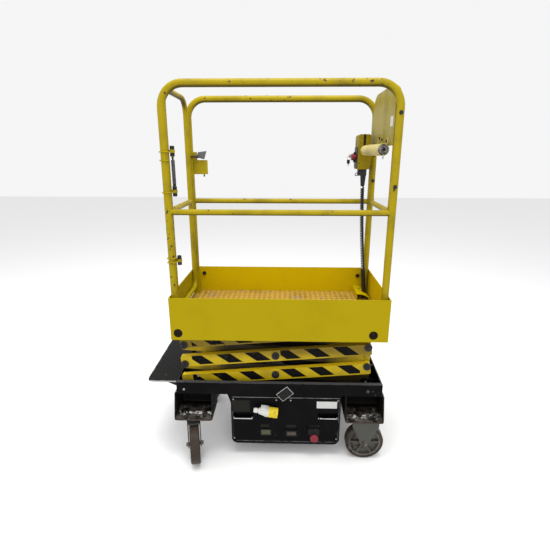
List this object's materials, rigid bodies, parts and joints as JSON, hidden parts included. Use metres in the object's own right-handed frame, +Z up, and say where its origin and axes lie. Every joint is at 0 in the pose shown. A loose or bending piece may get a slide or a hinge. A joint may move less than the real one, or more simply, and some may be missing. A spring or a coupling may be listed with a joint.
{
  "type": "push-around scissor lift",
  "caption": "Push-around scissor lift on castors: black chassis with power box, stacked crossed arms and a yellow guarded platform with an inward gate and a control box.",
  "frame": {"origin": "on the floor, in the middle of the whole machine's bounding box", "axes": "+X towards the control end, +Y towards the side away from the ground control panel, +Z up"},
  "size_m": [1.235, 0.7794, 1.8626],
  "materials": {
    "chassis_black": "satin, edges worn",
    "panel_black": "satin",
    "gauge_plastic": "gloss",
    "stop_red": "gloss",
    "plug_grey": "matt",
    "zinc_steel": "dull zinc",
    "pin_black": "satin",
    "roller_steel": "ground",
    "tyre_rubber": "worn",
    "hub_grey": "matt",
    "arm_yellow": "satin",
    "yellow_paint": "satin, chipped",
    "plate_yellow": "satin",
    "cylinder_black": "satin",
    "floor_steel": "worn",
    "tube_cream": "matt",
    "face_black": "matt",
    "lead_rubber": "matt"
  },
  "bodies": {
    "chassis": {"chassis_frame": "chassis_black", "chassis_deck": "chassis_black", "entry_step": "chassis_black", "castor_brackets": "chassis_black", "power_box": "chassis_black", "control_panel": "panel_black", "panel_gauges": "gauge_plastic", "ground_stop_button": "stop_red", "charger_plug": "plug_grey", "fixed_castor_forks": "zinc_steel", "swivel_castor_plates": "zinc_steel", "base_pivot_pins": "pin_black"},
    "swivel_near": {"swivel_fork_near": "zinc_steel"},
    "swivel_far": {"swivel_fork_far": "zinc_steel"},
    "wheel_left_near": {"tyre_left_near": "tyre_rubber", "hub_left_near": "hub_grey"},
    "wheel_left_far": {"tyre_left_far": "tyre_rubber", "hub_left_far": "hub_grey"},
    "wheel_right_near": {"tyre_right_near": "tyre_rubber", "hub_right_near": "hub_grey"},
    "wheel_right_far": {"tyre_right_far": "tyre_rubber", "hub_right_far": "hub_grey"},
    "arms_inner_1": {"inner_arms_1": "arm_yellow"},
    "arms_outer_1": {"outer_arms_1": "arm_yellow", "pivot_pins_1": "pin_black", "base_rollers": "roller_steel"},
    "arms_inner_2": {"inner_arms_2": "arm_yellow"},
    "arms_outer_2": {"outer_arms_2": "arm_yellow", "pivot_pins_2": "pin_black"},
    "arms_inner_3": {"inner_arms_3": "arm_yellow", "platform_rollers": "roller_steel"},
    "arms_outer_3": {"outer_arms_3": "arm_yellow", "pivot_pins_3": "pin_black"},
    "platform": {"platform_floor": "floor_steel", "platform_underframe": "yellow_paint", "toe_boards": "yellow_paint", "near_hoop": "yellow_paint", "far_hoop": "yellow_paint", "end_frame": "yellow_paint", "instruction_plate": "plate_yellow", "gate_hinges": "yellow_paint", "gate_closer": "pin_black", "gate_latch": "yellow_paint", "latch_lever": "zinc_steel", "document_tube": "tube_cream", "control_box": "yellow_paint", "control_face": "face_black", "platform_stop_button": "stop_red", "lead_gland": "lead_rubber", "coiled_lead": "lead_rubber", "lead_sleeve": "lead_rubber", "lead_guard": "yellow_paint"},
    "gate": {"gate_frame": "yellow_paint", "gate_lugs": "yellow_paint"},
    "cylinder": {"cylinder_barrel": "cylinder_black"},
    "cylinder_rod": {"cylinder_rod": "roller_steel"}
  },
  "joints": [
    {"name": "lift", "type": "hinge", "parent": "chassis", "child": "arms_inner_1", "pos_m": [0.5145, 0, 0.412], "axis": [0, 1, 0], "range_deg": [0, 40]},
    {"name": "cross_1", "type": "hinge", "parent": "arms_inner_1", "child": "arms_outer_1", "pos_m": [0.04453, 0, 0.4655], "axis": [0, 1, 0], "range_deg": [-80, 0]},
    {"name": "link_12", "type": "hinge", "parent": "arms_outer_1", "child": "arms_inner_2", "pos_m": [0.5145, 0, 0.519], "axis": [0, 1, 0], "range_deg": [0, 80]},
    {"name": "cross_2", "type": "hinge", "parent": "arms_inner_2", "child": "arms_outer_2", "pos_m": [0.04453, 0, 0.5725], "axis": [0, 1, 0], "range_deg": [-80, 0]},
    {"name": "link_23", "type": "hinge", "parent": "arms_outer_2", "child": "arms_inner_3", "pos_m": [0.5145, 0, 0.626], "axis": [0, 1, 0], "range_deg": [0, 80]},
    {"name": "cross_3", "type": "hinge", "parent": "arms_inner_3", "child": "arms_outer_3", "pos_m": [0.04453, 0, 0.6795], "axis": [0, 1, 0], "range_deg": [-80, 0]},
    {"name": "platform_level", "type": "hinge", "parent": "arms_outer_3", "child": "platform", "pos_m": [0.5145, 0, 0.733], "axis": [0, 1, 0], "range_deg": [0, 40]},
    {"name": "cylinder_swing", "type": "hinge", "parent": "chassis", "child": "cylinder", "pos_m": [0.4925, 0, 0.23], "axis": [0, 1, 0], "range_deg": [0, 35]},
    {"name": "cylinder_stroke", "type": "slide", "parent": "cylinder", "child": "cylinder_rod", "axis": [-0.9192, 0, 0.3938], "range_m": [0, 0.109]},
    {"name": "gate_swing", "type": "hinge", "parent": "platform", "child": "gate", "pos_m": [-0.4095, -0.228, 1.3], "axis": [0, 0, -1], "range_deg": [0, 90], "stiffness_Nm_per_rad": 1, "springref_deg": -5.73},
    {"name": "swivel_turn_near", "type": "hinge", "parent": "chassis", "child": "swivel_near", "pos_m": [-0.3925, -0.23, 0.218], "axis": [0, 0, 1], "continuous": true},
    {"name": "wheel_turn_left_near", "type": "hinge", "parent": "swivel_near", "child": "wheel_left_near", "pos_m": [-0.3778, -0.28817, 0.1], "axis": [0.9695, 0.245, 0], "continuous": true},
    {"name": "wheel_turn_right_near", "type": "hinge", "parent": "chassis", "child": "wheel_right_near", "pos_m": [0.5175, -0.23, 0.1], "axis": [0, 1, 0], "continuous": true},
    {"name": "swivel_turn_far", "type": "hinge", "parent": "chassis", "child": "swivel_far", "pos_m": [-0.3925, 0.23, 0.218], "axis": [0, 0, 1], "continuous": true},
    {"name": "wheel_turn_left_far", "type": "hinge", "parent": "swivel_far", "child": "wheel_left_far", "pos_m": [-0.3778, 0.28817, 0.1], "axis": [-0.9695, 0.245, 0], "continuous": true},
    {"name": "wheel_turn_right_far", "type": "hinge", "parent": "chassis", "child": "wheel_right_far", "pos_m": [0.5175, 0.23, 0.1], "axis": [0, 1, 0], "continuous": true}
  ],
  "couplings": [
    {"joint": "cross_1", "follows": "lift", "ratio": -2},
    {"joint": "link_12", "follows": "lift", "ratio": 2},
    {"joint": "cross_2", "follows": "lift", "ratio": -2},
    {"joint": "link_23", "follows": "lift", "ratio": 2},
    {"joint": "cross_3", "follows": "lift", "ratio": -2},
    {"joint": "platform_level", "follows": "lift", "ratio": 1},
    {"joint": "cylinder_swing", "follows": "lift", "ratio": 0.8626},
    {"joint": "cylinder_stroke", "follows": "lift", "m_per_rad": 0.1547}
  ]
}
